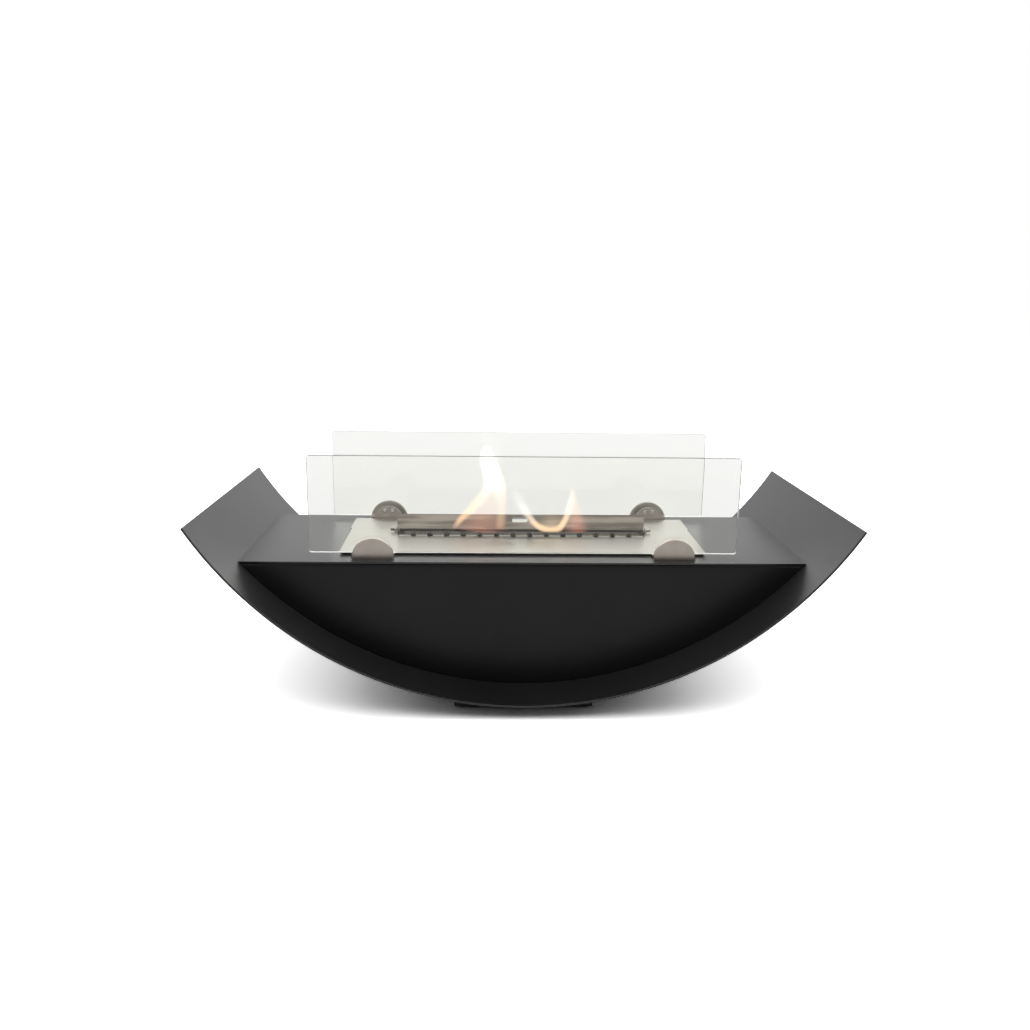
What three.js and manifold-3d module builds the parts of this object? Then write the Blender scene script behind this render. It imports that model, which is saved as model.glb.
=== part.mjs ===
// Bioethanol tabletop fireplace: a curved sheet-steel cradle on a low foot, a boat-shaped
// hull set back inside it, a drop-in stainless burner with a hinged lid over its slot, and
// two glass panes in four half-round clamps.
//
// Units are millimetres. +X runs along the long side, -Y is the front, +Z is up. The origin
// is on the surface that the fireplace stands on, under the middle of the cradle.

import * as THREE from 'three';
import { mergeVertices } from 'three/addons/utils/BufferGeometryUtils.js';
import Module from 'manifold-3d';

const wasm = await Module();
wasm.setup();

// ---------------------------------------------------------------- driving dimensions

// Cradle: one rolled sheet
const CRADLE_CHORD = 720;
const CRADLE_RISE = 200;
const CRADLE_DEPTH = 344;
const CRADLE_SHEET = 2.5;

// Foot: a folded tray under the cradle, on four round pads
const FOOT_HEIGHT = 15;
const FOOT_WIDTH = 156;
const FOOT_DEPTH = 284;
const FOOT_SHEET = 2;
const PAD_THICKNESS = 3;
const PAD_DIAMETER = 24;
const PAD_INSET = 20;
const PAD_EDGE_CHAMFER = 0.6;

// Hull: top plate and two panels, welded between the cradle's flanks
const PLATE_HEIGHT = 148;
const PLATE_SHEET = 2;
const PANEL_INSET = 60;
const PANEL_SHEET = 2;
const PANEL_RETURN = 14;
const PANEL_FOLD_RADIUS = 1.5;

// Burner: a drop-in tank under a wide flange
const TANK_LENGTH = 330;
const TANK_WIDTH = 90;
const TANK_DEPTH = 62;
const TANK_SHEET = 1.5;
const TANK_CORNER = 8;
const TANK_CLEARANCE = 2;
const FLANGE_LENGTH = 422;
const FLANGE_SHEET = 1.5;
const FLANGE_RISE = 3.5;
const FLANGE_LIP_INSET = 2.5;
const REAR_PLATE_EXTRA = 2;
const REAR_PLATE_START = 27;

// Fire slot, its perforated front strip and its rim
const SLOT_LENGTH = 299;
const SLOT_FRONT = -5.5;
const SLOT_BACK = 5;
const RIM_HEIGHT = 5;
const RIM_SHEET = 1.5;
const STRIP_FOOT = 9;
const STRIP_FOLD_RADIUS = 1;
const STRIP_END_GAP = 6.5;
const AIR_HOLE_DIAMETER = 6.6;
const AIR_HOLE_PITCH = 20.3;
const AIR_HOLE_MARGIN = 8;

// Fuel bed
const WOOL_HEIGHT = 38;
const WOOL_CLEARANCE = 1;
const GUARD_SHEET = 1;
const GUARD_CLEARANCE = 0.5;
const GUARD_HOLE_DIAMETER = 9;
const GUARD_HOLE_PITCH = 22;
const GUARD_EDGE_MARGIN = 12;

// Lid and its hinge
const LID_REACH = 19.1;
const LID_HEEL = 1;
const LID_SHEET = 1.5;
const LID_END_PLAY = 0.5;
const LID_TAB_RADIUS = 3;
const LID_STOP_SETBACK = 3.2;
const LID_LEAN_DEGREES = 12;
const LID_TOOL_SLOT_LENGTH = 19;
const LID_TOOL_SLOT_WIDTH = 6.5;
const LID_TOOL_SLOT_CORNER = 1.5;
const LID_TOOL_SLOT_FROM_EDGE = 6.5;
const LID_TOOL_SLOT_X = -1.5;
const HINGE_SETBACK = 3;
const HINGE_HEIGHT = 3.6;
const HINGE_PIN_DIAMETER = 2.8;
const HINGE_PIN_HEAD_DIAMETER = 3.8;
const HINGE_PIN_HEAD_LENGTH = 5.2;
const HINGE_PIN_CHAMFER = 0.4;
const EAR_SHEET = 2;
const EAR_WIDTH = 9;
const EAR_SIDE_PLAY = 0.8;

// Glass
const GLASS_LENGTH = 486;
const GLASS_HEIGHT = 111;
const GLASS_THICKNESS = 5;
const GLASS_CORNER = 3;
const GLASS_INSET = 21;

// Clamps
const CLAMP_SPACING = 342;
const CLAMP_RADIUS = 24;
const CLAMP_OUTER_CHEEK = 5;
const CLAMP_INNER_CHEEK = 4;
const CLAMP_INNER_RADIUS = 19;
const CLAMP_WEB = 4;
const CLAMP_CHAMFER = 0.7;
const LINER_WALL = 1.1;
const LINER_BED = 1.5;
const LINER_SETBACK = 0.5;
const SET_SCREW_DIAMETER = 5;
const SET_SCREW_SPREAD = 10;
const SET_SCREW_HEIGHT = 13.5;
const SET_SCREW_PROUD = 0.6;
const SET_SCREW_SOCKET = 2.6;
const SET_SCREW_SOCKET_DEPTH = 2.2;
const CLAMP_BOLT_DIAMETER = 4;
const CLAMP_BOLT_HEAD = 7.6;
const CLAMP_BOLT_HEAD_HEIGHT = 2.4;
const CLAMP_BOLT_SPREAD = 26;
const CLAMP_BOLT_BITE = 3.2;
const CLAMP_BOLT_SOCKET = 2.6;
const CLAMP_BOLT_SOCKET_DEPTH = 1.4;

// Named clearances
const SEAM_GAP = 0.3;
const SCREW_PLAY = 0.3;
const HINGE_PLAY = 0.25;
const LID_SEAT_GAP = 0.3;
const CLAMP_CLEARANCE = 1.4;

// Facets
const ARC_STEPS = 44;
const CUTTER_STEPS = 240;
const ROUND_STEPS = 24;
const SMALL_STEPS = 16;

// ---------------------------------------------------------------- derived places

const cradleRadius = ((CRADLE_CHORD / 2) ** 2 + CRADLE_RISE ** 2) / (2 * CRADLE_RISE);
const cradleHalfAngle = Math.asin(CRADLE_CHORD / 2 / cradleRadius);
const cradleAxisZ = FOOT_HEIGHT + cradleRadius;
const hullRadius = cradleRadius - CRADLE_SHEET - SEAM_GAP;

const plateTop = FOOT_HEIGHT + PLATE_HEIGHT;
const plateBottom = plateTop - PLATE_SHEET;
const hullDepth = CRADLE_DEPTH - 2 * PANEL_INSET;

const clampSlot = GLASS_THICKNESS + 2 * LINER_WALL;
const clampBack = clampSlot / 2 + CLAMP_INNER_CHEEK;
const glassOffset = hullDepth / 2 - GLASS_INSET;
const glassBottom = plateTop + CLAMP_WEB + LINER_BED;

const flangeTop = plateTop + FLANGE_RISE;
const flangeBottom = flangeTop - FLANGE_SHEET;
const flangeBack = glassOffset - clampBack - CLAMP_CLEARANCE;
const flangeFront = -flangeBack;
const rimTop = flangeTop + RIM_HEIGHT;
const stripFront = SLOT_FRONT - RIM_SHEET - STRIP_FOOT;
const tankFloorTop = flangeBottom - TANK_DEPTH + TANK_SHEET;
const woolTop = tankFloorTop + WOOL_HEIGHT;

const hingeY = SLOT_BACK + RIM_SHEET + HINGE_SETBACK;
const hingeZ = flangeTop + HINGE_HEIGHT;
const lidUnderside = RIM_HEIGHT + LID_SEAT_GAP - HINGE_HEIGHT;
const lidHalfLength = SLOT_LENGTH / 2 + RIM_SHEET + LID_END_PLAY + LID_SHEET;
const earInnerX = lidHalfLength + EAR_SIDE_PLAY;
const lidOpenAngle = THREE.MathUtils.degToRad(90 + LID_LEAN_DEGREES);

// ---------------------------------------------------------------- finishes

function finish(color, roughness, metalness, extra = {}) {
  return new THREE.MeshStandardMaterial({ color, roughness, metalness, ...extra });
}

const blackCoat = () => finish(0x26272a, 0.55, 0.1);
const brushedSteel = () => finish(0xb9b7ae, 0.32, 1.0);
const darkSteel = () => finish(0x6f6a63, 0.38, 1.0);
const satinNickel = () => finish(0x928a82, 0.35, 1.0);
const screwSteel = () => finish(0xa9aaac, 0.25, 1.0);
const clearGlass = () => finish(0xdfe8e2, 0.04, 0.0, { transparent: true, opacity: 0.3 });
const softRubber = () => finish(0x1b1b1c, 0.9, 0.0);
const greyLiner = () => finish(0x9a9c99, 0.7, 0.0);
const whiteWool = () => finish(0xe8e4da, 0.95, 0.0);

// ---------------------------------------------------------------- solid helpers

function toSolid(geometry) {
  const bare = geometry.clone();
  bare.deleteAttribute('normal');
  bare.deleteAttribute('uv');
  const merged = mergeVertices(bare, 1e-4);
  return new wasm.Manifold(new wasm.Mesh({
    numProp: 3,
    vertProperties: new Float32Array(merged.attributes.position.array),
    triVerts: new Uint32Array(merged.index.array),
  }));
}

function toGeometry(solid) {
  const result = solid.getMesh();
  const geometry = new THREE.BufferGeometry();
  geometry.setAttribute('position', new THREE.BufferAttribute(result.vertProperties, 3));
  geometry.setIndex(new THREE.BufferAttribute(result.triVerts, 1));
  geometry.computeVertexNormals();
  return geometry;
}

function part(name, solid, material) {
  const mesh = new THREE.Mesh(toGeometry(solid), material);
  mesh.name = name;
  return mesh;
}

function joined(first, ...others) {
  return others.reduce((sum, other) => sum.add(other), first);
}

function cutBy(body, ...tools) {
  return tools.reduce((rest, tool) => rest.subtract(tool), body);
}

// A box from its lowest to its highest corner.
function block(x0, x1, y0, y1, z0, z1) {
  const geometry = new THREE.BoxGeometry(x1 - x0, y1 - y0, z1 - z0);
  geometry.translate((x0 + x1) / 2, (y0 + y1) / 2, (z0 + z1) / 2);
  return toSolid(geometry);
}

// A rectangle with round corners, lying in XY and centred on (x, y).
function roundedRectangle(width, depth, radius, x = 0, y = 0) {
  const shape = new THREE.Shape();
  const left = x - width / 2;
  const right = x + width / 2;
  const low = y - depth / 2;
  const high = y + depth / 2;
  shape.moveTo(left + radius, low);
  shape.lineTo(right - radius, low);
  shape.absarc(right - radius, low + radius, radius, -Math.PI / 2, 0, false);
  shape.lineTo(right, high - radius);
  shape.absarc(right - radius, high - radius, radius, 0, Math.PI / 2, false);
  shape.lineTo(left + radius, high);
  shape.absarc(left + radius, high - radius, radius, Math.PI / 2, Math.PI, false);
  shape.lineTo(left, low + radius);
  shape.absarc(left + radius, low + radius, radius, Math.PI, 1.5 * Math.PI, false);
  return shape;
}

// An upright prism of a shape drawn in XY.
function prismZ(shape, z0, z1, curveSegments = 4) {
  const options = { depth: z1 - z0, bevelEnabled: false, curveSegments };
  const geometry = new THREE.ExtrudeGeometry(shape, options);
  geometry.translate(0, 0, z0);
  return toSolid(geometry);
}

// A prism along Y of a shape drawn in XZ.
function prismY(shape, y0, y1, curveSegments = SMALL_STEPS) {
  const options = { depth: y1 - y0, bevelEnabled: false, curveSegments };
  const geometry = new THREE.ExtrudeGeometry(shape, options);
  geometry.rotateX(Math.PI / 2);
  geometry.translate(0, y1, 0);
  return toSolid(geometry);
}

// A prism along X of a shape drawn in YZ.
function prismX(shape, x0, x1, curveSegments = SMALL_STEPS) {
  const options = { depth: x1 - x0, bevelEnabled: false, curveSegments };
  const geometry = new THREE.ExtrudeGeometry(shape, options);
  geometry.rotateX(Math.PI / 2);
  geometry.rotateZ(Math.PI / 2);
  geometry.translate(x0, 0, 0);
  return toSolid(geometry);
}

// A cylinder of a given diameter between two points.
function rod(diameter, from, to, steps = ROUND_STEPS) {
  const start = new THREE.Vector3(...from);
  const end = new THREE.Vector3(...to);
  const along = end.clone().sub(start);
  const geometry = new THREE.CylinderGeometry(
    diameter / 2, diameter / 2, along.length(), steps, 1,
  );
  const up = new THREE.Vector3(0, 1, 0);
  const turn = new THREE.Quaternion().setFromUnitVectors(up, along.clone().normalize());
  geometry.applyQuaternion(turn);
  const middle = start.add(end).multiplyScalar(0.5);
  geometry.translate(middle.x, middle.y, middle.z);
  return toSolid(geometry);
}

// A solid of revolution about Z from a profile of [radius, height] that starts and ends on
// the axis, its lowest point first.
function turned(profile, steps = ROUND_STEPS) {
  const points = profile.map(([radius, height]) => new THREE.Vector2(radius, height));
  const geometry = new THREE.LatheGeometry(points, steps);
  geometry.rotateX(Math.PI / 2);
  return geometry;
}

// ---------------------------------------------------------------- cradle and foot

function cradleSheet() {
  const centre = cradleAxisZ;
  const start = -Math.PI / 2 - cradleHalfAngle;
  const end = -Math.PI / 2 + cradleHalfAngle;
  const inner = cradleRadius - CRADLE_SHEET;
  const shape = new THREE.Shape();
  shape.absarc(0, centre, cradleRadius, start, end, false);
  shape.absarc(0, centre, inner, end, start, true);
  const sheet = prismY(shape, -CRADLE_DEPTH / 2, CRADLE_DEPTH / 2, ARC_STEPS);
  return part('cradle', sheet, blackCoat());
}

// The round body that fills the cradle, used to trim what meets the curved sheet.
function cradleCutter(radius, depth) {
  const half = depth / 2;
  return rod(2 * radius, [0, -half, cradleAxisZ], [0, half, cradleAxisZ], CUTTER_STEPS);
}

function footTray() {
  const halfX = FOOT_WIDTH / 2;
  const halfY = FOOT_DEPTH / 2;
  const flank = cradleAxisZ - Math.sqrt(cradleRadius ** 2 - halfX ** 2);
  const outer = block(-halfX, halfX, -halfY, halfY, PAD_THICKNESS, flank);
  const hollow = block(
    -halfX + FOOT_SHEET, halfX - FOOT_SHEET,
    -halfY + FOOT_SHEET, halfY - FOOT_SHEET,
    PAD_THICKNESS + FOOT_SHEET, flank + 1,
  );
  const sheet = cradleCutter(cradleRadius + SEAM_GAP, CRADLE_DEPTH);
  return part('foot_tray', cutBy(outer, hollow, sheet), blackCoat());
}

function footPad(name, x, y) {
  const radius = PAD_DIAMETER / 2;
  const geometry = turned([
    [0, 0],
    [radius - PAD_EDGE_CHAMFER, 0],
    [radius, PAD_EDGE_CHAMFER],
    [radius, PAD_THICKNESS],
    [0, PAD_THICKNESS],
  ]);
  const pad = part(name, toSolid(geometry), softRubber());
  pad.position.set(x, y, 0);
  return pad;
}

function foot() {
  const group = new THREE.Group();
  group.add(footTray());
  const x = FOOT_WIDTH / 2 - PAD_INSET;
  const y = FOOT_DEPTH / 2 - PAD_INSET;
  for (const [side, sx] of [['left', -1], ['right', 1]]) {
    for (const [end, sy] of [['front', -1], ['rear', 1]]) {
      group.add(footPad(`foot_pad_${end}_${side}`, sx * x, sy * y));
    }
  }
  return group;
}

// ---------------------------------------------------------------- hull

// Half the hull's width at a height, where it meets the inside of the curved sheet.
function hullHalfWidth(z) {
  return Math.sqrt(hullRadius ** 2 - (cradleAxisZ - z) ** 2);
}

// The boat shape under the top plate, drawn in XZ.
function hullSection() {
  const reach = hullHalfWidth(plateBottom);
  const rightAngle = Math.atan2(plateBottom - cradleAxisZ, reach);
  const shape = new THREE.Shape();
  shape.absarc(0, cradleAxisZ, hullRadius, -Math.PI - rightAngle, rightAngle, false);
  return shape;
}

// The bent sheet of a panel in YZ: an upright face, a round fold and a return that lies
// under the top plate.
function panelProfile() {
  const face = hullDepth / 2;
  const bend = PANEL_FOLD_RADIUS + PANEL_SHEET;
  const returnEnd = face - PANEL_SHEET - PANEL_RETURN;
  const shape = new THREE.Shape();
  shape.moveTo(face, FOOT_HEIGHT);
  shape.absarc(face - bend, plateBottom - bend, bend, 0, Math.PI / 2, false);
  shape.lineTo(returnEnd, plateBottom);
  shape.lineTo(returnEnd, plateBottom - PANEL_SHEET);
  shape.absarc(face - bend, plateBottom - bend, PANEL_FOLD_RADIUS, Math.PI / 2, 0, true);
  shape.lineTo(face - PANEL_SHEET, FOOT_HEIGHT);
  return shape;
}

// A panel is trimmed to the cradle's curve. side is -1 at the front, 1 at the back.
function hullPanel(name, side) {
  const reach = CRADLE_CHORD / 2;
  const bent = prismX(panelProfile(), -reach, reach, 4);
  const boat = prismY(hullSection(), 0, hullDepth / 2 + 1, ARC_STEPS);
  const panel = part(name, bent.intersect(boat), blackCoat());
  panel.rotation.z = side < 0 ? Math.PI : 0;
  return panel;
}

function topPlate() {
  const low = hullHalfWidth(plateBottom);
  const high = hullHalfWidth(plateTop);
  const section = new THREE.Shape();
  section.moveTo(-low, plateBottom);
  section.lineTo(low, plateBottom);
  section.lineTo(high, plateTop);
  section.lineTo(-high, plateTop);
  const sheet = prismY(section, -hullDepth / 2, hullDepth / 2);
  const opening = roundedRectangle(
    TANK_LENGTH + 2 * TANK_CLEARANCE, TANK_WIDTH + 2 * TANK_CLEARANCE,
    TANK_CORNER + TANK_CLEARANCE,
  );
  const cuts = [prismZ(opening, plateBottom - 1, plateTop + 1)];
  for (const [x, y] of clampBoltPlaces()) {
    const diameter = CLAMP_BOLT_DIAMETER + 2 * SCREW_PLAY;
    cuts.push(rod(diameter, [x, y, plateBottom - 1], [x, y, plateTop + 1], SMALL_STEPS));
  }
  return part('top_plate', cutBy(sheet, ...cuts), blackCoat());
}

function hull() {
  const group = new THREE.Group();
  group.add(hullPanel('front_panel', -1));
  group.add(hullPanel('rear_panel', 1));
  group.add(topPlate());
  return group;
}

// ---------------------------------------------------------------- burner

function burnerTank() {
  const outline = roundedRectangle(TANK_LENGTH, TANK_WIDTH, TANK_CORNER);
  const inside = roundedRectangle(
    TANK_LENGTH - 2 * TANK_SHEET, TANK_WIDTH - 2 * TANK_SHEET, TANK_CORNER - TANK_SHEET,
  );
  const outer = prismZ(outline, flangeBottom - TANK_DEPTH, flangeBottom);
  const hollow = prismZ(inside, tankFloorTop, flangeBottom + 1);
  return part('burner_tank', outer.subtract(hollow), brushedSteel());
}

// A sheet with its outer edges folded down and set in, which stands on the top plate.
// open is the side without a fold: the one where the two sheets meet.
function foldedSheet(halfLength, y0, y1, open) {
  const sheet = block(-halfLength, halfLength, y0, y1, flangeBottom, flangeTop);
  const inX = halfLength - FLANGE_LIP_INSET;
  const lipY0 = open === 'front' ? y0 : y0 + FLANGE_LIP_INSET;
  const lipY1 = open === 'back' ? y1 : y1 - FLANGE_LIP_INSET;
  const lip = block(-inX, inX, lipY0, lipY1, plateTop, flangeBottom);
  const within = block(
    -inX + FLANGE_SHEET, inX - FLANGE_SHEET,
    open === 'front' ? y0 - 1 : lipY0 + FLANGE_SHEET,
    open === 'back' ? y1 + 1 : lipY1 - FLANGE_SHEET,
    plateTop - 1, flangeBottom,
  );
  return sheet.add(lip.subtract(within));
}

function burnerFlange() {
  const sheet = foldedSheet(FLANGE_LENGTH / 2, flangeFront, REAR_PLATE_START, 'back');
  const slot = block(
    -SLOT_LENGTH / 2, SLOT_LENGTH / 2, stripFront, SLOT_BACK, flangeBottom - 1, flangeTop + 1,
  );
  return part('burner_flange', sheet.subtract(slot), brushedSteel());
}

function burnerRearPlate() {
  const halfLength = FLANGE_LENGTH / 2 + REAR_PLATE_EXTRA;
  const sheet = foldedSheet(halfLength, REAR_PLATE_START, flangeBack, 'front');
  return part('burner_rear_plate', sheet, brushedSteel());
}

// The strip along the front of the slot. Its air holes are punched through the fold, so
// each one opens both the upright wall and the flat foot.
function airStrip() {
  const wallFront = SLOT_FRONT - RIM_SHEET;
  const inner = STRIP_FOLD_RADIUS;
  const outer = STRIP_FOLD_RADIUS + FLANGE_SHEET;
  const foot = new THREE.Shape();
  foot.moveTo(stripFront, flangeBottom);
  foot.lineTo(SLOT_FRONT - outer, flangeBottom);
  foot.absarc(SLOT_FRONT - outer, flangeBottom + outer, outer, -Math.PI / 2, 0, false);
  foot.lineTo(SLOT_FRONT, flangeTop + inner);
  foot.lineTo(wallFront, flangeTop + inner);
  foot.absarc(wallFront - inner, flangeTop + inner, inner, 0, -Math.PI / 2, true);
  foot.lineTo(stripFront, flangeTop);
  const base = prismX(foot, -SLOT_LENGTH / 2, SLOT_LENGTH / 2, 4);
  const wallHalf = SLOT_LENGTH / 2 - STRIP_END_GAP;
  const wall = block(-wallHalf, wallHalf, wallFront, SLOT_FRONT, flangeTop + inner, rimTop);
  const usable = 2 * (wallHalf - AIR_HOLE_MARGIN);
  const count = Math.floor(usable / AIR_HOLE_PITCH) + 1;
  const punches = [];
  for (let i = 0; i < count; i += 1) {
    const x = (i - (count - 1) / 2) * AIR_HOLE_PITCH;
    const from = [x, wallFront - AIR_HOLE_DIAMETER, flangeTop + AIR_HOLE_DIAMETER];
    const to = [x, wallFront + AIR_HOLE_DIAMETER, flangeTop - AIR_HOLE_DIAMETER];
    punches.push(rod(AIR_HOLE_DIAMETER, from, to, SMALL_STEPS));
  }
  return part('air_strip', cutBy(base.add(wall), ...punches), brushedSteel());
}

// The rest of the slot's upright edge: its back and its two ends.
function slotRim() {
  const half = SLOT_LENGTH / 2;
  const back = block(
    -half - RIM_SHEET, half + RIM_SHEET, SLOT_BACK, SLOT_BACK + RIM_SHEET, flangeTop, rimTop,
  );
  const ends = [-1, 1].map((side) => {
    const middle = side * (half + RIM_SHEET / 2);
    return block(
      middle - RIM_SHEET / 2, middle + RIM_SHEET / 2, SLOT_FRONT - RIM_SHEET, SLOT_BACK,
      flangeTop, rimTop,
    );
  });
  return part('slot_rim', joined(back, ...ends), brushedSteel());
}

function fuelWool() {
  const margin = TANK_SHEET + WOOL_CLEARANCE;
  const outline = roundedRectangle(
    TANK_LENGTH - 2 * margin, TANK_WIDTH - 2 * margin, TANK_CORNER - margin,
  );
  return part('fuel_wool', prismZ(outline, tankFloorTop, woolTop), whiteWool());
}

function woolGuard() {
  const margin = TANK_SHEET + GUARD_CLEARANCE;
  const length = TANK_LENGTH - 2 * margin;
  const width = TANK_WIDTH - 2 * margin;
  const outline = roundedRectangle(length, width, TANK_CORNER - margin);
  const columns = Math.floor((length - 2 * GUARD_EDGE_MARGIN) / GUARD_HOLE_PITCH) + 1;
  const rows = Math.floor((width - 2 * GUARD_EDGE_MARGIN) / GUARD_HOLE_PITCH) + 1;
  for (let i = 0; i < columns; i += 1) {
    for (let j = 0; j < rows; j += 1) {
      const hole = new THREE.Path();
      const x = (i - (columns - 1) / 2) * GUARD_HOLE_PITCH;
      const y = (j - (rows - 1) / 2) * GUARD_HOLE_PITCH;
      hole.absarc(x, y, GUARD_HOLE_DIAMETER / 2, 0, 2 * Math.PI, true);
      outline.holes.push(hole);
    }
  }
  return part('wool_guard', prismZ(outline, woolTop, woolTop + GUARD_SHEET, 5), darkSteel());
}

// ---------------------------------------------------------------- lid and hinge

// The side tab in YZ about the hinge axis, as the lid lies closed. Its heel meets the
// flange when the lid leans back open, and stops it there.
function lidTabSection() {
  const toClosed = (y, z) => {
    const point = new THREE.Vector2(y, z);
    return point.rotateAround(new THREE.Vector2(0, 0), lidOpenAngle);
  };
  const heel = toClosed(LID_STOP_SETBACK, -(HINGE_HEIGHT - LID_SEAT_GAP));
  const top = lidUnderside + LID_SHEET;
  const shape = new THREE.Shape();
  shape.moveTo(-2 * LID_TAB_RADIUS, lidUnderside);
  shape.lineTo(-LID_TAB_RADIUS, 0);
  shape.absarc(0, 0, LID_TAB_RADIUS, Math.PI, 2 * Math.PI, false);
  shape.lineTo(heel.x, heel.y);
  shape.lineTo(heel.x - 1, heel.y);
  shape.lineTo(0, top);
  shape.lineTo(-2 * LID_TAB_RADIUS, top);
  return shape;
}

function lid() {
  const top = lidUnderside + LID_SHEET;
  const sheet = block(-lidHalfLength, lidHalfLength, -LID_REACH, LID_HEEL, lidUnderside, top);
  const slotY = -LID_REACH + LID_TOOL_SLOT_FROM_EDGE;
  const outline = roundedRectangle(
    LID_TOOL_SLOT_LENGTH, LID_TOOL_SLOT_WIDTH, LID_TOOL_SLOT_CORNER, LID_TOOL_SLOT_X, slotY,
  );
  const toolSlot = prismZ(outline, lidUnderside - 1, top + 1);
  const tabs = [-1, 1].map((side) => {
    const face = side * lidHalfLength;
    const inner = face - side * LID_SHEET;
    return prismX(lidTabSection(), Math.min(face, inner), Math.max(face, inner), 8);
  });
  const bore = rod(
    HINGE_PIN_DIAMETER + 2 * HINGE_PLAY,
    [-lidHalfLength - 1, 0, 0], [lidHalfLength + 1, 0, 0], SMALL_STEPS,
  );
  const body = cutBy(joined(sheet, ...tabs), toolSlot, bore);
  return part('lid', body, darkSteel());
}

// An upright ear on the flange, with a round top about the hinge axis.
function lidEar(name, side) {
  const inner = earInnerX;
  const outer = earInnerX + EAR_SHEET;
  const half = EAR_WIDTH / 2;
  const shape = new THREE.Shape();
  shape.moveTo(hingeY - half, flangeTop);
  shape.lineTo(hingeY + half, flangeTop);
  shape.lineTo(hingeY + half, hingeZ);
  shape.absarc(hingeY, hingeZ, half, 0, Math.PI, false);
  const x0 = side < 0 ? -outer : inner;
  const body = prismX(shape, x0, x0 + EAR_SHEET, 10);
  const bore = rod(
    HINGE_PIN_DIAMETER + 2 * HINGE_PLAY,
    [x0 - 1, hingeY, hingeZ], [x0 + EAR_SHEET + 1, hingeY, hingeZ], SMALL_STEPS,
  );
  return part(name, body.subtract(bore), brushedSteel());
}

// A pin with a long slim head, turned about its own axis, its shank pointing at the lid.
function lidPin(name, side) {
  const shank = HINGE_PIN_DIAMETER / 2;
  const head = HINGE_PIN_HEAD_DIAMETER / 2;
  const length = EAR_SHEET + EAR_SIDE_PLAY + LID_SHEET + LID_END_PLAY;
  const geometry = turned([
    [0, -length],
    [shank - HINGE_PIN_CHAMFER, -length],
    [shank, -length + HINGE_PIN_CHAMFER],
    [shank, 0],
    [head, 0],
    [head, HINGE_PIN_HEAD_LENGTH - HINGE_PIN_CHAMFER],
    [head - HINGE_PIN_CHAMFER, HINGE_PIN_HEAD_LENGTH],
    [0, HINGE_PIN_HEAD_LENGTH],
  ], SMALL_STEPS);
  const pin = part(name, toSolid(geometry), darkSteel());
  pin.rotation.y = side * Math.PI / 2;
  pin.position.set(side * (earInnerX + EAR_SHEET), hingeY, hingeZ);
  return pin;
}

function burner() {
  const group = new THREE.Group();
  group.add(burnerTank());
  group.add(burnerFlange());
  group.add(burnerRearPlate());
  group.add(airStrip());
  group.add(slotRim());
  group.add(fuelWool());
  group.add(woolGuard());
  group.add(lidEar('lid_ear_left', -1));
  group.add(lidEar('lid_ear_right', 1));
  group.add(lidPin('lid_pin_left', -1));
  group.add(lidPin('lid_pin_right', 1));
  const lidPivot = new THREE.Group();
  lidPivot.position.set(0, hingeY, hingeZ);
  lidPivot.rotation.x = -lidOpenAngle;
  lidPivot.add(lid());
  group.add(lidPivot);
  return group;
}

// ---------------------------------------------------------------- glass and clamps

function glassPane(name, y) {
  const outline = roundedRectangle(GLASS_LENGTH, GLASS_HEIGHT, GLASS_CORNER);
  const pane = part(
    name,
    prismY(outline, -GLASS_THICKNESS / 2, GLASS_THICKNESS / 2, 4),
    clearGlass(),
  );
  pane.position.set(0, y, glassBottom + GLASS_HEIGHT / 2);
  return pane;
}

function halfDisc(radius) {
  const shape = new THREE.Shape();
  shape.absarc(0, 0, radius, 0, Math.PI, false);
  return shape;
}

// Where the bolts come up through the top plate: two under the web of each clamp.
function clampBoltPlaces() {
  const places = [];
  for (const y of [-glassOffset, glassOffset]) {
    for (const x of [-CLAMP_SPACING / 2, CLAMP_SPACING / 2]) {
      places.push([x - CLAMP_BOLT_SPREAD / 2, y]);
      places.push([x + CLAMP_BOLT_SPREAD / 2, y]);
    }
  }
  return places;
}

// A clamp about its own seat: the glass plane is y = 0, the large cheek is at -y, the small
// one at +y, and z = 0 is the face that stands on the top plate.
function clampBody(name) {
  const slot = clampSlot / 2;
  const rim = CLAMP_RADIUS - CLAMP_CHAMFER;
  const front = -slot - CLAMP_OUTER_CHEEK;
  const cheek = prismY(halfDisc(CLAMP_RADIUS), front + CLAMP_CHAMFER, -slot, 20);
  const chamfer = new THREE.CylinderGeometry(
    CLAMP_RADIUS, rim, CLAMP_CHAMFER, 2 * 40, 1,
  );
  chamfer.translate(0, front + CLAMP_CHAMFER / 2, 0);
  const above = block(
    -CLAMP_RADIUS, CLAMP_RADIUS, front - 1, -slot, 0, CLAMP_RADIUS + 1,
  );
  const face = toSolid(chamfer).intersect(above);
  const web = prismY(halfDisc(CLAMP_RADIUS), -slot, slot, 20)
    .intersect(block(-CLAMP_RADIUS, CLAMP_RADIUS, -slot, slot, 0, CLAMP_WEB));
  const jaw = prismY(halfDisc(CLAMP_INNER_RADIUS), slot, clampBack, 16);
  const bores = [];
  for (const side of [-1, 1]) {
    const x = side * SET_SCREW_SPREAD / 2;
    bores.push(rod(
      SET_SCREW_DIAMETER + 2 * SCREW_PLAY,
      [x, slot - 0.5, SET_SCREW_HEIGHT], [x, clampBack + 1, SET_SCREW_HEIGHT], SMALL_STEPS,
    ));
    const boltX = side * CLAMP_BOLT_SPREAD / 2;
    const reach = CLAMP_BOLT_BITE + SCREW_PLAY;
    bores.push(rod(
      CLAMP_BOLT_DIAMETER + 2 * SCREW_PLAY, [boltX, 0, -1], [boltX, 0, reach], SMALL_STEPS,
    ));
  }
  const body = cutBy(joined(cheek, face, web, jaw), ...bores);
  return part(name, body, satinNickel());
}

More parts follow.
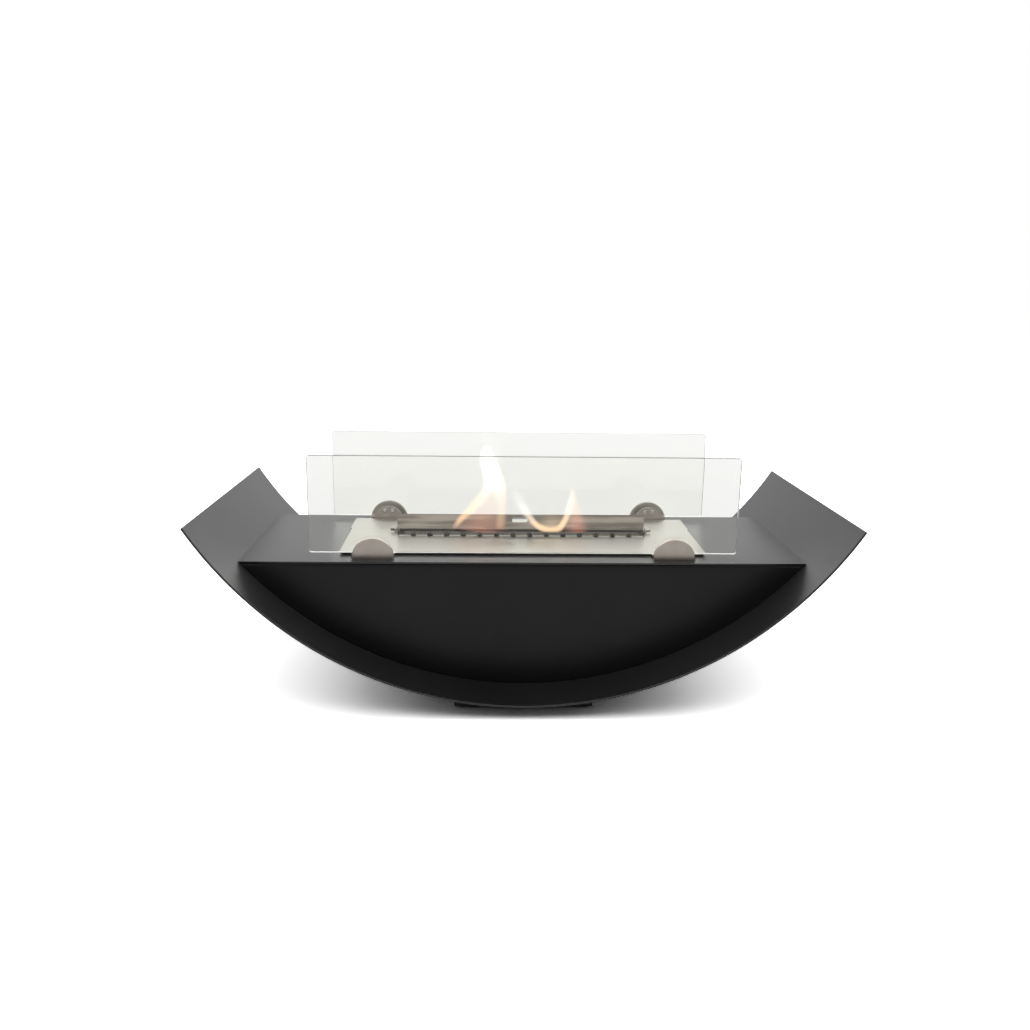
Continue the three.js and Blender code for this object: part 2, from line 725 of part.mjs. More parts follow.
// The soft channel that lines the clamp's slot and carries the pane's lower edge. It follows
// the small jaw's outline.
function clampLiner(name) {
  const reach = CLAMP_INNER_RADIUS - LINER_SETBACK;
  const slot = clampSlot / 2;
  const glass = GLASS_THICKNESS / 2;
  const outer = prismY(halfDisc(reach), -slot, slot, 8)
    .intersect(block(-reach, reach, -slot, slot, CLAMP_WEB, reach));
  const inner = block(-reach, reach, -glass, glass, CLAMP_WEB + LINER_BED, reach + 1);
  return part(name, outer.subtract(inner), greyLiner());
}

// A socket recess for a hexagon key, along Z from a face at z.
function keySocket(acrossFlats, z0, z1) {
  const geometry = new THREE.CylinderGeometry(
    acrossFlats / Math.sqrt(3), acrossFlats / Math.sqrt(3), z1 - z0, 6, 1,
  );
  geometry.rotateX(Math.PI / 2);
  geometry.translate(0, 0, (z0 + z1) / 2);
  return toSolid(geometry);
}

// A set screw with its tip at z = 0 and its key socket at the other end.
function setScrew(name) {
  const radius = SET_SCREW_DIAMETER / 2;
  const length = CLAMP_INNER_CHEEK + SET_SCREW_PROUD;
  const body = toSolid(turned([
    [0, 0],
    [radius - 0.6, 0],
    [radius, 0.6],
    [radius, length - 0.3],
    [radius - 0.3, length],
    [0, length],
  ], SMALL_STEPS));
  const socket = keySocket(SET_SCREW_SOCKET, length - SET_SCREW_SOCKET_DEPTH, length + 1);
  return part(name, body.subtract(socket), screwSteel());
}

// A button-head bolt with its head's seat at z = 0 and its shank pointing up.
function clampBolt(name) {
  const shank = CLAMP_BOLT_DIAMETER / 2;
  const head = CLAMP_BOLT_HEAD / 2;
  const length = PLATE_SHEET + CLAMP_BOLT_BITE;
  const body = toSolid(turned([
    [0, -CLAMP_BOLT_HEAD_HEIGHT],
    [head * 0.6, -CLAMP_BOLT_HEAD_HEIGHT],
    [head, -CLAMP_BOLT_HEAD_HEIGHT * 0.45],
    [head, 0],
    [shank, 0],
    [shank, length],
    [0, length],
  ], SMALL_STEPS));
  const socket = keySocket(
    CLAMP_BOLT_SOCKET, -CLAMP_BOLT_HEAD_HEIGHT - 1,
    -CLAMP_BOLT_HEAD_HEIGHT + CLAMP_BOLT_SOCKET_DEPTH,
  );
  return part(name, body.subtract(socket), screwSteel());
}

// One clamp with its liner, two set screws and two bolts. face is -1 at the front, 1 at
// the back: the small jaw always faces the fire.
function glassClamp(place, x, face) {
  const group = new THREE.Group();
  group.position.set(x, face * glassOffset, plateTop);
  group.rotation.z = face > 0 ? Math.PI : 0;
  group.add(clampBody(`clamp_${place}`));
  group.add(clampLiner(`clamp_liner_${place}`));
  for (const [label, side] of [['a', -1], ['b', 1]]) {
    const screw = setScrew(`set_screw_${place}_${label}`);
    screw.rotation.x = -Math.PI / 2;
    screw.position.set(side * SET_SCREW_SPREAD / 2, clampSlot / 2, SET_SCREW_HEIGHT);
    group.add(screw);
    const bolt = clampBolt(`clamp_bolt_${place}_${label}`);
    bolt.position.set(side * CLAMP_BOLT_SPREAD / 2, 0, -PLATE_SHEET);
    group.add(bolt);
  }
  return group;
}

function windscreen() {
  const group = new THREE.Group();
  group.add(glassPane('glass_front', -glassOffset));
  group.add(glassPane('glass_rear', glassOffset));
  for (const [end, face] of [['front', -1], ['rear', 1]]) {
    for (const [side, sx] of [['left', -1], ['right', 1]]) {
      group.add(glassClamp(`${end}_${side}`, sx * CLAMP_SPACING / 2, face));
    }
  }
  return group;
}

// ---------------------------------------------------------------- the whole fireplace

const fireplace = new THREE.Group();
fireplace.name = 'fireplace';
fireplace.add(cradleSheet());
fireplace.add(foot());
fireplace.add(hull());
fireplace.add(burner());
fireplace.add(windscreen());

export default fireplace;
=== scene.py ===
"""Looks of a tabletop bioethanol fireplace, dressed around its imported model.

Units are metres. +X runs along the long side, -Y is the front, +Z is up, and the origin is on
the surface that the fireplace stands on, under the middle of the cradle.
"""

from __future__ import annotations

import logging
import math
from collections.abc import Iterable, Mapping, Sequence
from dataclasses import dataclass, field
from enum import Enum
from typing import Any

import bmesh
import bpy
from mathutils import Matrix, Vector, noise


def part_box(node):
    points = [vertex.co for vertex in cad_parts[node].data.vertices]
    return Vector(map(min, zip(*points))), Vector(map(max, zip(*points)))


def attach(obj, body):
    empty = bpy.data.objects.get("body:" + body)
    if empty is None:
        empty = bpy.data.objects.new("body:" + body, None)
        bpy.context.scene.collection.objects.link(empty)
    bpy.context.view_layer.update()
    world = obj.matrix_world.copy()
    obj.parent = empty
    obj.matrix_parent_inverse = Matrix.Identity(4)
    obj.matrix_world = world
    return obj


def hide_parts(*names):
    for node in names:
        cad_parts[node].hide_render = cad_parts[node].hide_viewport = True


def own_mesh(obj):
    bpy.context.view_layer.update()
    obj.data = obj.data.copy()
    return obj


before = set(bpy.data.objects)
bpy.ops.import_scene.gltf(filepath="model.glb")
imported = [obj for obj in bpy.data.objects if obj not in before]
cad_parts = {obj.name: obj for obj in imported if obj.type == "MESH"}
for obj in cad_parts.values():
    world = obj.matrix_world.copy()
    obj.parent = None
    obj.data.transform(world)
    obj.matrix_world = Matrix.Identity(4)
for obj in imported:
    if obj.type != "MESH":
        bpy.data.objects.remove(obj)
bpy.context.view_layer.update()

MM = 0.001
MICRON = 0.001 * MM

WELD_DISTANCE = 2 * MICRON
SAME = 1e-6
SMOOTH_ANGLE = math.radians(28)
FLAT_ANGLE = math.radians(0.6)
SHARP_ANGLE = math.radians(35)
EDGE_STEPS = 2

ENDS = ("front", "rear")
SIDES = ("left", "right")

Triple = tuple[float, float, float]
Color = Triple

log = logging.getLogger("fireplace")


# ------------------------------------------------------------------ shader maths


@dataclass(frozen=True)
class Wire:
    """One output of a material's node, with arithmetic on its values."""

    graph: "Graph"
    socket: bpy.types.NodeSocket

    def _math(self, operation: str, first: Any, second: Any = 0.0) -> "Wire":
        """Adds a Math node.

        Args:
            operation: The Math node's operation.
            first: Its first value or wire.
            second: Its second value or wire.

        Returns:
            The node's value.
        """
        return self.graph.node("ShaderNodeMath", {"operation": operation}, {0: first, 1: second})

    def __add__(self, other: Any) -> "Wire":
        """Adds a value or a wire."""
        return self._math("ADD", self, other)

    __radd__ = __add__

    def __sub__(self, other: Any) -> "Wire":
        """Takes a value or a wire away."""
        return self._math("SUBTRACT", self, other)

    def __rsub__(self, other: Any) -> "Wire":
        """Takes this wire away from a value."""
        return self._math("SUBTRACT", other, self)

    def __mul__(self, other: Any) -> "Wire":
        """Multiplies by a value or a wire."""
        return self._math("MULTIPLY", self, other)

    __rmul__ = __mul__

    def __abs__(self) -> "Wire":
        """The value without its sign."""
        return self._math("ABSOLUTE", self)

    def power(self, exponent: float) -> "Wire":
        """The value raised to a power."""
        return self._math("POWER", self, exponent)

    def ramp(self, low: float, high: float, start: float = 0.0, end: float = 1.0) -> "Wire":
        """Maps low..high smoothly to start..end and holds it there.

        Args:
            low: The value that gives start.
            high: The value that gives end.
            start: The result at and before low.
            end: The result at and after high.

        Returns:
            The mapped value.
        """
        settings = {"interpolation_type": "SMOOTHSTEP", "clamp": True}
        values = {"Value": self, "From Min": low, "From Max": high, "To Min": start, "To Max": end}
        return self.graph.node("ShaderNodeMapRange", settings, values)


class Graph:
    """The node tree of one material or world."""

    def __init__(self, owner: bpy.types.Material | bpy.types.World) -> None:
        """Starts an empty node tree.

        Args:
            owner: The material or world that it belongs to.
        """
        owner.use_nodes = True
        self.tree = owner.node_tree
        self.tree.nodes.clear()

    def node(
        self,
        kind: str,
        settings: Mapping[str, Any] | None = None,
        sockets: Mapping[int | str, Any] | None = None,
        out: int | str = 0,
    ) -> Wire:
        """Adds a node.

        Args:
            kind: The node's type.
            settings: Its own settings, set first.
            sockets: What its inputs get, by place, name or identifier: values or wires.
            out: Which output the wire is.

        Returns:
            The chosen output.
        """
        node = self.tree.nodes.new(kind)
        for key, value in (settings or {}).items():
            setattr(node, key, value)
        for key, value in (sockets or {}).items():
            socket = self._socket(node.inputs, key)
            if isinstance(value, Wire):
                self.tree.links.new(value.socket, socket)
            else:
                socket.default_value = value
        return Wire(self, self._socket(node.outputs, out)) if node.outputs else Wire(self, None)

    @staticmethod
    def _socket(sockets: Any, key: int | str) -> bpy.types.NodeSocket:
        """Finds a socket.

        Args:
            sockets: A node's inputs or outputs.
            key: The socket's place, identifier or name.

        Returns:
            The socket.
        """
        for socket in sockets:
            if socket.identifier == key:
                return socket
        return sockets[key]

    def place(self) -> Wire:
        """The point on the piece, in metres, in the piece's own frame."""
        return self.node("ShaderNodeTexCoord", out="Object")

    def facing(self) -> Wire:
        """The surface's direction in the piece's own frame."""
        return self.node("ShaderNodeTexCoord", out="Normal")

    def axes(self, vector: Wire) -> tuple[Wire, Wire, Wire]:
        """Splits a vector into its three numbers.

        Args:
            vector: The vector.

        Returns:
            Its x, y and z.
        """
        node = self.tree.nodes.new("ShaderNodeSeparateXYZ")
        self.tree.links.new(vector.socket, node.inputs[0])
        return tuple(Wire(self, socket) for socket in node.outputs)

    def stretched(self, vector: Wire, factors: Triple) -> Wire:
        """Scales a vector along each axis."""
        return self.node("ShaderNodeVectorMath", {"operation": "MULTIPLY"}, {0: vector, 1: factors})

    def noise(self, vector: Wire, scale: float = 1.0, detail: float = 2.0, rough: float = 0.5) -> Wire:
        """Soft noise from 0 to 1.

        Args:
            vector: Where it is read.
            scale: Grains per unit of the vector.
            detail: How many finer layers it has.
            rough: How strong the finer layers are.

        Returns:
            The noise value.
        """
        values = {"Vector": vector, "Scale": scale, "Detail": detail, "Roughness": rough}
        return self.node("ShaderNodeTexNoise", {}, values)

    def mix(self, share: Wire | float, first: Any, second: Any) -> Wire:
        """Mixes two colours.

        Args:
            share: The second colour's share, from 0 to 1.
            first: The first colour, or a wire that carries it.
            second: The second colour, or a wire that carries it.

        Returns:
            The mixed colour.
        """
        colors = {"Factor_Float": share}
        for key, value in (("A_Color", first), ("B_Color", second)):
            colors[key] = value if isinstance(value, Wire) else (*value, 1.0)
        return self.node("ShaderNodeMix", {"data_type": "RGBA"}, colors, "Result_Color")

    def bump(self, height: Wire, depth: float, strength: float = 1.0) -> Wire:
        """A surface normal from a height of 0 to 1, depth metres deep."""
        values = {"Height": height, "Distance": depth, "Strength": strength}
        return self.node("ShaderNodeBump", {}, values, "Normal")

    def principled(self, **sockets: Any) -> Wire:
        """The Principled shader, its sockets named with _ for a space."""
        named = {key.replace("_", " "): value for key, value in sockets.items()}
        return self.node("ShaderNodeBsdfPrincipled", {}, named)

    def finish(self, surface: Wire, kind: str = "ShaderNodeOutputMaterial") -> None:
        """Connects the finished shader to the output."""
        self.node(kind, {}, {"Surface": surface})


# ------------------------------------------------------------------ finishes


@dataclass(frozen=True)
class Finish:
    """A surface finish that can be put on pieces."""

    slot: str

    def build(self, graph: Graph) -> Wire:
        """Adds the finish's nodes.

        Args:
            graph: The material's node tree.

        Returns:
            The finish's shader.
        """
        raise NotImplementedError

    def material(self) -> bpy.types.Material:
        """The finish's material, made once.

        Returns:
            The material, named after the finish.
        """
        name = f"{self.slot}_{type(self).__name__}"
        known = bpy.data.materials.get(name)
        if known:
            return known
        material = bpy.data.materials.new(name)
        graph = Graph(material)
        graph.finish(self.build(graph))
        return material


@dataclass(frozen=True)
class PowderCoat(Finish):
    """Fine satin black powder coat on sheet steel."""

    slot: str = "black_coat"
    color: Color = (0.0040, 0.0041, 0.0044)
    dusty: Color = (0.0070, 0.0070, 0.0073)
    rough: float = 0.29
    rough_spread: float = 0.07
    ior: float = 1.56
    sheen: float = 0.33
    sheen_rough: float = 0.3
    grain: float = 1100.0
    grain_depth: float = 40 * MICRON
    grain_strength: float = 0.35
    cloud: float = 7.0

    def build(self, graph: Graph) -> Wire:
        """Black, a little cloudy, with the fine orange peel of baked powder.

        Args:
            graph: The material's node tree.

        Returns:
            The finish's shader.
        """
        place = graph.place()
        cloud = graph.noise(place, self.cloud, 3.0)
        grain = graph.noise(place, self.grain, 2.0, 0.6)
        return graph.principled(
            Base_Color=graph.mix(cloud.ramp(0.35, 0.7), self.color, self.dusty),
            Roughness=cloud * self.rough_spread + self.rough,
            IOR=self.ior,
            Sheen_Weight=self.sheen,
            Sheen_Roughness=self.sheen_rough,
            Normal=graph.bump(grain, self.grain_depth, self.grain_strength),
        )


@dataclass(frozen=True)
class PanelCoat(PowderCoat):
    """The same coat on the hull's two panels, which are duller than the rolled sheet."""

    rough: float = 0.33
    ior: float = 1.33
    sheen: float = 0.17


@dataclass(frozen=True)
class BrushedSteel(Finish):
    """Stainless steel with fine brush lines along X."""

    slot: str = "brushed_stainless"
    color: Color = (0.392, 0.380, 0.346)
    shade: Color = (0.322, 0.311, 0.281)
    rough: float = 0.27
    rough_spread: float = 0.16
    lines_along: float = 9.0
    lines_across: float = 1500.0
    bands_along: float = 2.25
    bands_across: float = 250.0
    handling: float = 14.0
    line_depth: float = 30 * MICRON
    line_strength: float = 0.5
    anisotropy: float = 0.55

    def build(self, graph: Graph) -> Wire:
        """Long thin lines over slow clouds of handling.

        Args:
            graph: The material's node tree.

        Returns:
            The finish's shader.
        """
        place = graph.place()
        lines = graph.stretched(place, (self.lines_along, self.lines_across, self.lines_across))
        bands = graph.stretched(place, (self.bands_along, self.bands_across, self.bands_across))
        fine = graph.noise(lines, 1.0, 3.0, 0.7)
        broad = graph.noise(bands)
        cloud = graph.noise(place, self.handling, 2.0)
        tone = (fine * 0.5 + broad * 0.3 + cloud * 0.2).ramp(0.3, 0.7)
        return graph.principled(
            Base_Color=self.tinted(graph, place, graph.mix(tone, self.shade, self.color)),
            Metallic=1.0,
            Roughness=(fine * 0.6 + cloud * 0.4) * self.rough_spread + self.rough,
            Anisotropic=self.anisotropy,
            Normal=graph.bump(fine * 0.7 + broad * 0.3, self.line_depth, self.line_strength),
        )

    def tinted(self, graph: Graph, place: Wire, color: Wire) -> Wire:
        """The heat tint and painted shade that a finish puts on the steel's colour: nothing on plain
        steel.
        """
        return color


@dataclass(frozen=True)
class SlotSteel(BrushedSteel):
    """Brushed steel round the fire slot, with painted shade and a painted dark reflection where it stands
    up beside the flame.
    """

    # The darker colour below is painted shade and a painted reflection of the dim room in front, put on
    # the upright wall.
    painted_shade: Color = (0.21, 0.195, 0.170)
    painted_shade_from: float = 0.1662
    painted_shade_full: float = 0.1688

    def tinted(self, graph: Graph, place: Wire, color: Wire) -> Wire:
        """Darker with height, from the flat foot to the upright edge: painted shade."""
        height = graph.axes(place)[2]
        return graph.mix(height.ramp(self.painted_shade_from, self.painted_shade_full), color, self.painted_shade)


@dataclass(frozen=True)
class RimSteel(SlotSteel):
    """The steel behind the flame, whose upright wall carries the darkest painted shade of all, a painted
    shadow under the lid.
    """

    # A near-black painted shadow for the gap under the lid.
    painted_shade: Color = (0.065, 0.058, 0.048)


@dataclass(frozen=True)
class HeatedSteel(BrushedSteel):
    """Brushed steel that the fire has darkened to a warm grey, in streaks along its length."""

    slot: str = "dark_stainless"
    color: Color = (0.36, 0.318, 0.270)
    shade: Color = (0.27, 0.236, 0.200)
    scale: Color = (0.150, 0.130, 0.110)
    rough: float = 0.25
    patches_along: float = 9.0
    patches_across: float = 130.0

    def tinted(self, graph: Graph, place: Wire, color: Wire) -> Wire:
        """Long soft patches of heat scale."""
        spread = graph.stretched(place, (self.patches_along, self.patches_across, self.patches_across))
        return graph.mix(graph.noise(spread, 1.0, 3.0).ramp(0.38, 0.60), color, self.scale)


@dataclass(frozen=True)
class SatinNickel(Finish):
    """Satin nickel plate on the clamps, bead-blasted before plating."""

    slot: str = "satin_nickel"
    color: Color = (0.470, 0.420, 0.372)
    shade: Color = (0.410, 0.368, 0.326)
    rough: float = 0.33
    rough_spread: float = 0.1
    grain: float = 1700.0
    grain_depth: float = 30 * MICRON
    grain_strength: float = 0.4
    cloud: float = 60.0

    def build(self, graph: Graph) -> Wire:
        """An even warm grey with a fine blasted grain.

        Args:
            graph: The material's node tree.

        Returns:
            The finish's shader.
        """
        place = graph.place()
        grain = graph.noise(place, self.grain, 2.0, 0.6)
        cloud = graph.noise(place, self.cloud, 2.0)
        return graph.principled(
            Base_Color=graph.mix(cloud.ramp(0.3, 0.7), self.shade, self.color),
            Metallic=1.0,
            Roughness=cloud * self.rough_spread + self.rough,
            Normal=graph.bump(grain, self.grain_depth, self.grain_strength),
        )


@dataclass(frozen=True)
class ScrewSteel(Finish):
    """Bright zinc-plated set screws and bolts."""

    slot: str = "polished_screw"
    color: Color = (0.70, 0.70, 0.70)
    shade: Color = (0.50, 0.50, 0.51)
    rough: float = 0.14
    rough_spread: float = 0.16
    rings: float = 500.0
    ring_depth: float = 30 * MICRON
    ring_strength: float = 0.3

    def build(self, graph: Graph) -> Wire:
        """Bright, with the faint rings that turning leaves.

        Args:
            graph: The material's node tree.

        Returns:
            The finish's shader.
        """
        turned = graph.noise(graph.place(), self.rings, 3.0)
        return graph.principled(
            Base_Color=graph.mix(turned.ramp(0.3, 0.7), self.shade, self.color),
            Metallic=1.0,
            Roughness=turned * self.rough_spread + self.rough,
            Normal=graph.bump(turned, self.ring_depth, self.ring_strength),
        )


@dataclass(frozen=True)
class Rubber(Finish):
    """Matt black rubber with a moulded grain."""

    slot: str = "rubber_foot"
    color: Color = (0.014, 0.014, 0.015)
    dusty: Color = (0.032, 0.031, 0.030)
    rough: float = 0.72
    rough_spread: float = 0.15
    grain: float = 1300.0
    grain_depth: float = 80 * MICRON
    grain_strength: float = 0.5
    dust: float = 90.0

    def build(self, graph: Graph) -> Wire:
        """Black with a little dust in its grain.

        Args:
            graph: The material's node tree.

        Returns:
            The finish's shader.
        """
        place = graph.place()
        grain = graph.noise(place, self.grain, 2.0)
        dust = graph.noise(place, self.dust, 2.0)
        return graph.principled(
            Base_Color=graph.mix(dust.ramp(0.4, 0.75), self.color, self.dusty),
            Roughness=grain * self.rough_spread + self.rough,
            Normal=graph.bump(grain, self.grain_depth, self.grain_strength),
        )


@dataclass(frozen=True)
class Silicone(Finish):
    """Translucent grey silicone channel."""

    slot: str = "grey_silicone"
    color: Color = (0.30, 0.31, 0.30)
    shade: Color = (0.22, 0.23, 0.225)
    rough: float = 0.42
    rough_spread: float = 0.2
    cloud: float = 300.0
    cloud_depth: float = 30 * MICRON
    cloud_strength: float = 0.3

    def build(self, graph: Graph) -> Wire:
        """Soft grey with faint cloudiness.

        Args:
            graph: The material's node tree.

        Returns:
            The finish's shader.
        """
        cloud = graph.noise(graph.place(), self.cloud, 2.0)
        return graph.principled(
            Base_Color=graph.mix(cloud, self.shade, self.color),
            Roughness=cloud * self.rough_spread + self.rough,
            Normal=graph.bump(cloud, self.cloud_depth, self.cloud_strength),
        )


@dataclass(frozen=True)
class FibreWool(Finish):
    """White ceramic fibre wool."""

    slot: str = "ceramic_wool"
    color: Color = (0.78, 0.76, 0.70)
    # shade is the painted shade of the hollows between the fibres.
    shade: Color = (0.48, 0.45, 0.40)
    rough: float = 0.88
    rough_spread: float = 0.1
    sheen: float = 0.3
    fibres: Triple = (380.0, 900.0, 900.0)
    clumps: float = 120.0
    depth: float = 0.6 * MM
    depth_strength: float = 0.8

    def build(self, graph: Graph) -> Wire:
        """Matted fibres, with painted shade in the hollows between them.

        Args:
            graph: The material's node tree.

        Returns:
            The finish's shader.
        """
        place = graph.place()
        fibres = graph.noise(graph.stretched(place, self.fibres), 1.0, 4.0, 0.65)
        clumps = graph.noise(place, self.clumps, 3.0)
        height = fibres * 0.6 + clumps * 0.4
        return graph.principled(
            # Painted shade: the lower the bump height, the darker the colour.
            Base_Color=graph.mix(height.ramp(0.32, 0.62), self.shade, self.color),
            Roughness=fibres * self.rough_spread + self.rough,
            Normal=graph.bump(height, self.depth, self.depth_strength),
            Sheen_Weight=self.sheen,
        )


@dataclass(frozen=True)
class ClearGlass(Finish):
    """Clear toughened glass with ground edges."""

    slot: str = "clear_glass"
    color: Color = (0.955, 0.960, 0.935)
    edge_color: Color = (0.56, 0.60, 0.57)
    edge_rough: float = 0.28
    edge_rough_spread: float = 0.1
    grind: float = 1500.0
    ior: float = 1.4

    def build(self, graph: Graph) -> Wire:
        """Clear on the two faces, dull grey-green on the ground edges.

        Args:
            graph: The material's node tree.

        Returns:
            The finish's shader.
        """
        across = abs(graph.axes(graph.facing())[1])
        edge = across.ramp(0.5, 0.9, 1.0, 0.0)
        grind = graph.noise(graph.place(), self.grind, 2.0)
        return graph.principled(
            Base_Color=graph.mix(edge, self.color, self.edge_color),
            Roughness=edge * (grind * self.edge_rough_spread + self.edge_rough),
            IOR=self.ior,
            Transmission_Weight=1.0,
        )


@dataclass(frozen=True)
class FrontGlass(ClearGlass):
    """The front pane, whose ground edges carry a painted reflection of the darker side of the room."""

    # A near-black painted reflection, in place of the ground edges' own grey-green.
    edge_color: Color = (0.05, 0.05, 0.048)


@dataclass(frozen=True)
class Fire(Finish):
    """Alcohol flame: a pink veil where it is cool, cream-white where it is hot."""

    slot: str = "flame"
    cool: Color = (1.0, 0.38, 0.27)
    warm: Color = (1.0, 0.68, 0.40)
    hot: Color = (1.0, 0.98, 0.92)
    strength: float = 2.0

    def build(self, graph: Graph) -> Wire:
        """Light over a see-through shell, from what each point of the shell carries.

        Args:
            graph: The material's node tree.

        Returns:
            The finish's shader.
        """
        attribute = "ShaderNodeAttribute"
        heat = graph.node(attribute, {"attribute_name": Flame.WARMTH}, out="Fac")
        cover = graph.node(attribute, {"attribute_name": Flame.COVER}, out="Fac")
        glow = graph.mix(heat.ramp(0.0, 0.5), self.cool, self.warm)
        color = graph.mix(heat.ramp(0.5, 1.0), glow, self.hot)
        return graph.principled(
            Base_Color=(0.0, 0.0, 0.0, 1.0),
            Specular_IOR_Level=0.0,
            Roughness=1.0,
            Emission_Color=color,
            Emission_Strength=self.strength,
            Alpha=cover,
        )


@dataclass(frozen=True)
class PaleFloor(Finish):
    """The plain pale floor, which takes the fireplace's shadow and is white beyond it."""

    slot: str = "floor"
    tone: float = 0.93
    through_glass: float = 0.93
    seen_tone: float = 2.6
    far_gain: float = 2.5
    near: float = 0.5
    far: float = 5.0

    def build(self, graph: Graph) -> Wire:
        """An even matt white, paler to the camera and far away, so that no horizon shows.

        Args:
            graph: The material's node tree.

        Returns:
            The finish's shader.
        """
        path = "ShaderNodeLightPath"
        seen = graph.node(path, out="Is Camera Ray")
        through = graph.node(path, out="Is Transmission Ray")
        across, along, _ = graph.axes(graph.place())
        distance = (across * across + along * along).power(0.5)
        gain = 1 + distance.ramp(self.near, self.far) * (self.far_gain - 1)
        tone = (
            (1 - seen - through) * self.tone
            + seen * gain * self.seen_tone
            + through * gain * self.through_glass
        )
        color = graph.node("ShaderNodeCombineColor", {}, {0: tone, 1: tone, 2: tone})
        return graph.node("ShaderNodeBsdfDiffuse", {}, {"Color": color})


# ------------------------------------------------------------------ mesh helpers


def edge_smoother() -> bpy.types.NodeTree:
    """The geometry nodes that weld a mesh and shade it smooth up to an angle.

    Returns:
        The node group, made once.
    """
    name = "smooth_below_angle"
    known = bpy.data.node_groups.get(name)
    if known:
        return known
    group = bpy.data.node_groups.new(name, "GeometryNodeTree")
    group.interface.new_socket("Geometry", in_out="INPUT", socket_type="NodeSocketGeometry")
    group.interface.new_socket("Geometry", in_out="OUTPUT", socket_type="NodeSocketGeometry")
    nodes, links = group.nodes, group.links
    start, end = nodes.new("NodeGroupInput"), nodes.new("NodeGroupOutput")
    weld = nodes.new("GeometryNodeMergeByDistance")
    weld.inputs["Distance"].default_value = WELD_DISTANCE
    drop = nodes.new("GeometryNodeRemoveAttribute")
    drop.inputs["Name"].default_value = "custom_normal"
    smooth = nodes.new("GeometryNodeSetShadeSmooth")
    crease = nodes.new("GeometryNodeSetShadeSmooth")
    crease.domain = "EDGE"
    crease.inputs["Shade Smooth"].default_value = False
    angle = nodes.new("GeometryNodeInputMeshEdgeAngle")
    sharp = nodes.new("FunctionNodeCompare")
    sharp.operation = "GREATER_THAN"
    sharp.inputs[1].default_value = SMOOTH_ANGLE
    links.new(start.outputs[0], weld.inputs["Geometry"])
    links.new(weld.outputs[0], drop.inputs["Geometry"])
    links.new(drop.outputs[0], smooth.inputs["Geometry"])
    links.new(smooth.outputs[0], crease.inputs["Geometry"])
    links.new(angle.outputs["Unsigned Angle"], sharp.inputs[0])
    links.new(sharp.outputs[0], crease.inputs["Selection"])
    links.new(crease.outputs[0], end.inputs[0])
    return group


def ease(piece: bpy.types.Object, width: float) -> None:
    """Shades a piece smooth over its curves and rounds its sharp edges.

    Args:
        piece: The piece.
        width: The rounding's width in metres, or 0 for none.
    """
    smooth = piece.modifiers.new("smooth", "NODES")
    smooth.node_group = edge_smoother()
    if width <= 0:
        return
    flat = piece.modifiers.new("flat_faces", "DECIMATE")
    flat.decimate_type = "DISSOLVE"
    flat.angle_limit = FLAT_ANGLE
    bevel = piece.modifiers.new("edges", "BEVEL")
    bevel.width = width
    bevel.segments = EDGE_STEPS
    bevel.limit_method = "ANGLE"
    bevel.angle_limit = SHARP_ANGLE
    bevel.harden_normals = True
    bevel.use_clamp_overlap = True


def new_piece(name: str, mesh: bpy.types.Mesh, finish: Finish) -> bpy.types.Object:
    """Makes an object of a mesh and puts a finish on it.

    Args:
        name: The piece's name.
        mesh: Its mesh, in metres in the shared frame.
        finish: Its finish.

    Returns:
        The new object.
    """
    piece = bpy.data.objects.new(name, mesh)
    bpy.context.scene.collection.objects.link(piece)
    mesh.materials.append(finish.material())
    return piece


@dataclass
class SubAssembly:
    """A group of CAD nodes that one class dresses."""

    def dress(self, nodes: Iterable[str], finish: Finish, edge: float = 0.0) -> None:
        """Gives CAD nodes their finish and eases their edges.

        Args:
            nodes: The nodes' names.
            finish: Their finish.
            edge: The width that their sharp edges are rounded by, in metres.
        """
        for name in nodes:
            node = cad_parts[name]
            node.data.materials.clear()
            node.data.materials.append(finish.material())
            ease(node, edge)
            log.info("dressed %s with %s", name, finish.slot)

    def build(self) -> None:
        """Builds and dresses the sub-assembly."""
        raise NotImplementedError


def places(*words: Sequence[str]) -> list[str]:
    """Joins words into names.

    Args:
        words: Lists of words, in the order in which a name holds them.

    Returns:
        Every name that joins one word of each list with _.
    """
    names = [""]
    for group in words:
        names = [f"{start}_{word}" if start else word for start in names for word in group]
    return names


# ------------------------------------------------------------------ sub-assemblies


@dataclass
class Body(SubAssembly):
    """The cradle, its foot and the hull: everything in black-coated sheet steel."""

    sheet_edge: float = 0.4 * MM
    plate_edge: float = 0.5 * MM

    def build(self) -> None:
        """Dresses the steel sheets and the rubber pads."""
        self.dress(["cradle", "foot_tray"], PowderCoat(), self.sheet_edge)
        self.dress(places(ENDS, ["panel"]), PanelCoat(), self.sheet_edge)
        self.dress(["top_plate"], PowderCoat(), self.plate_edge)
        self.dress(places(["foot_pad"], ENDS, SIDES), Rubber())


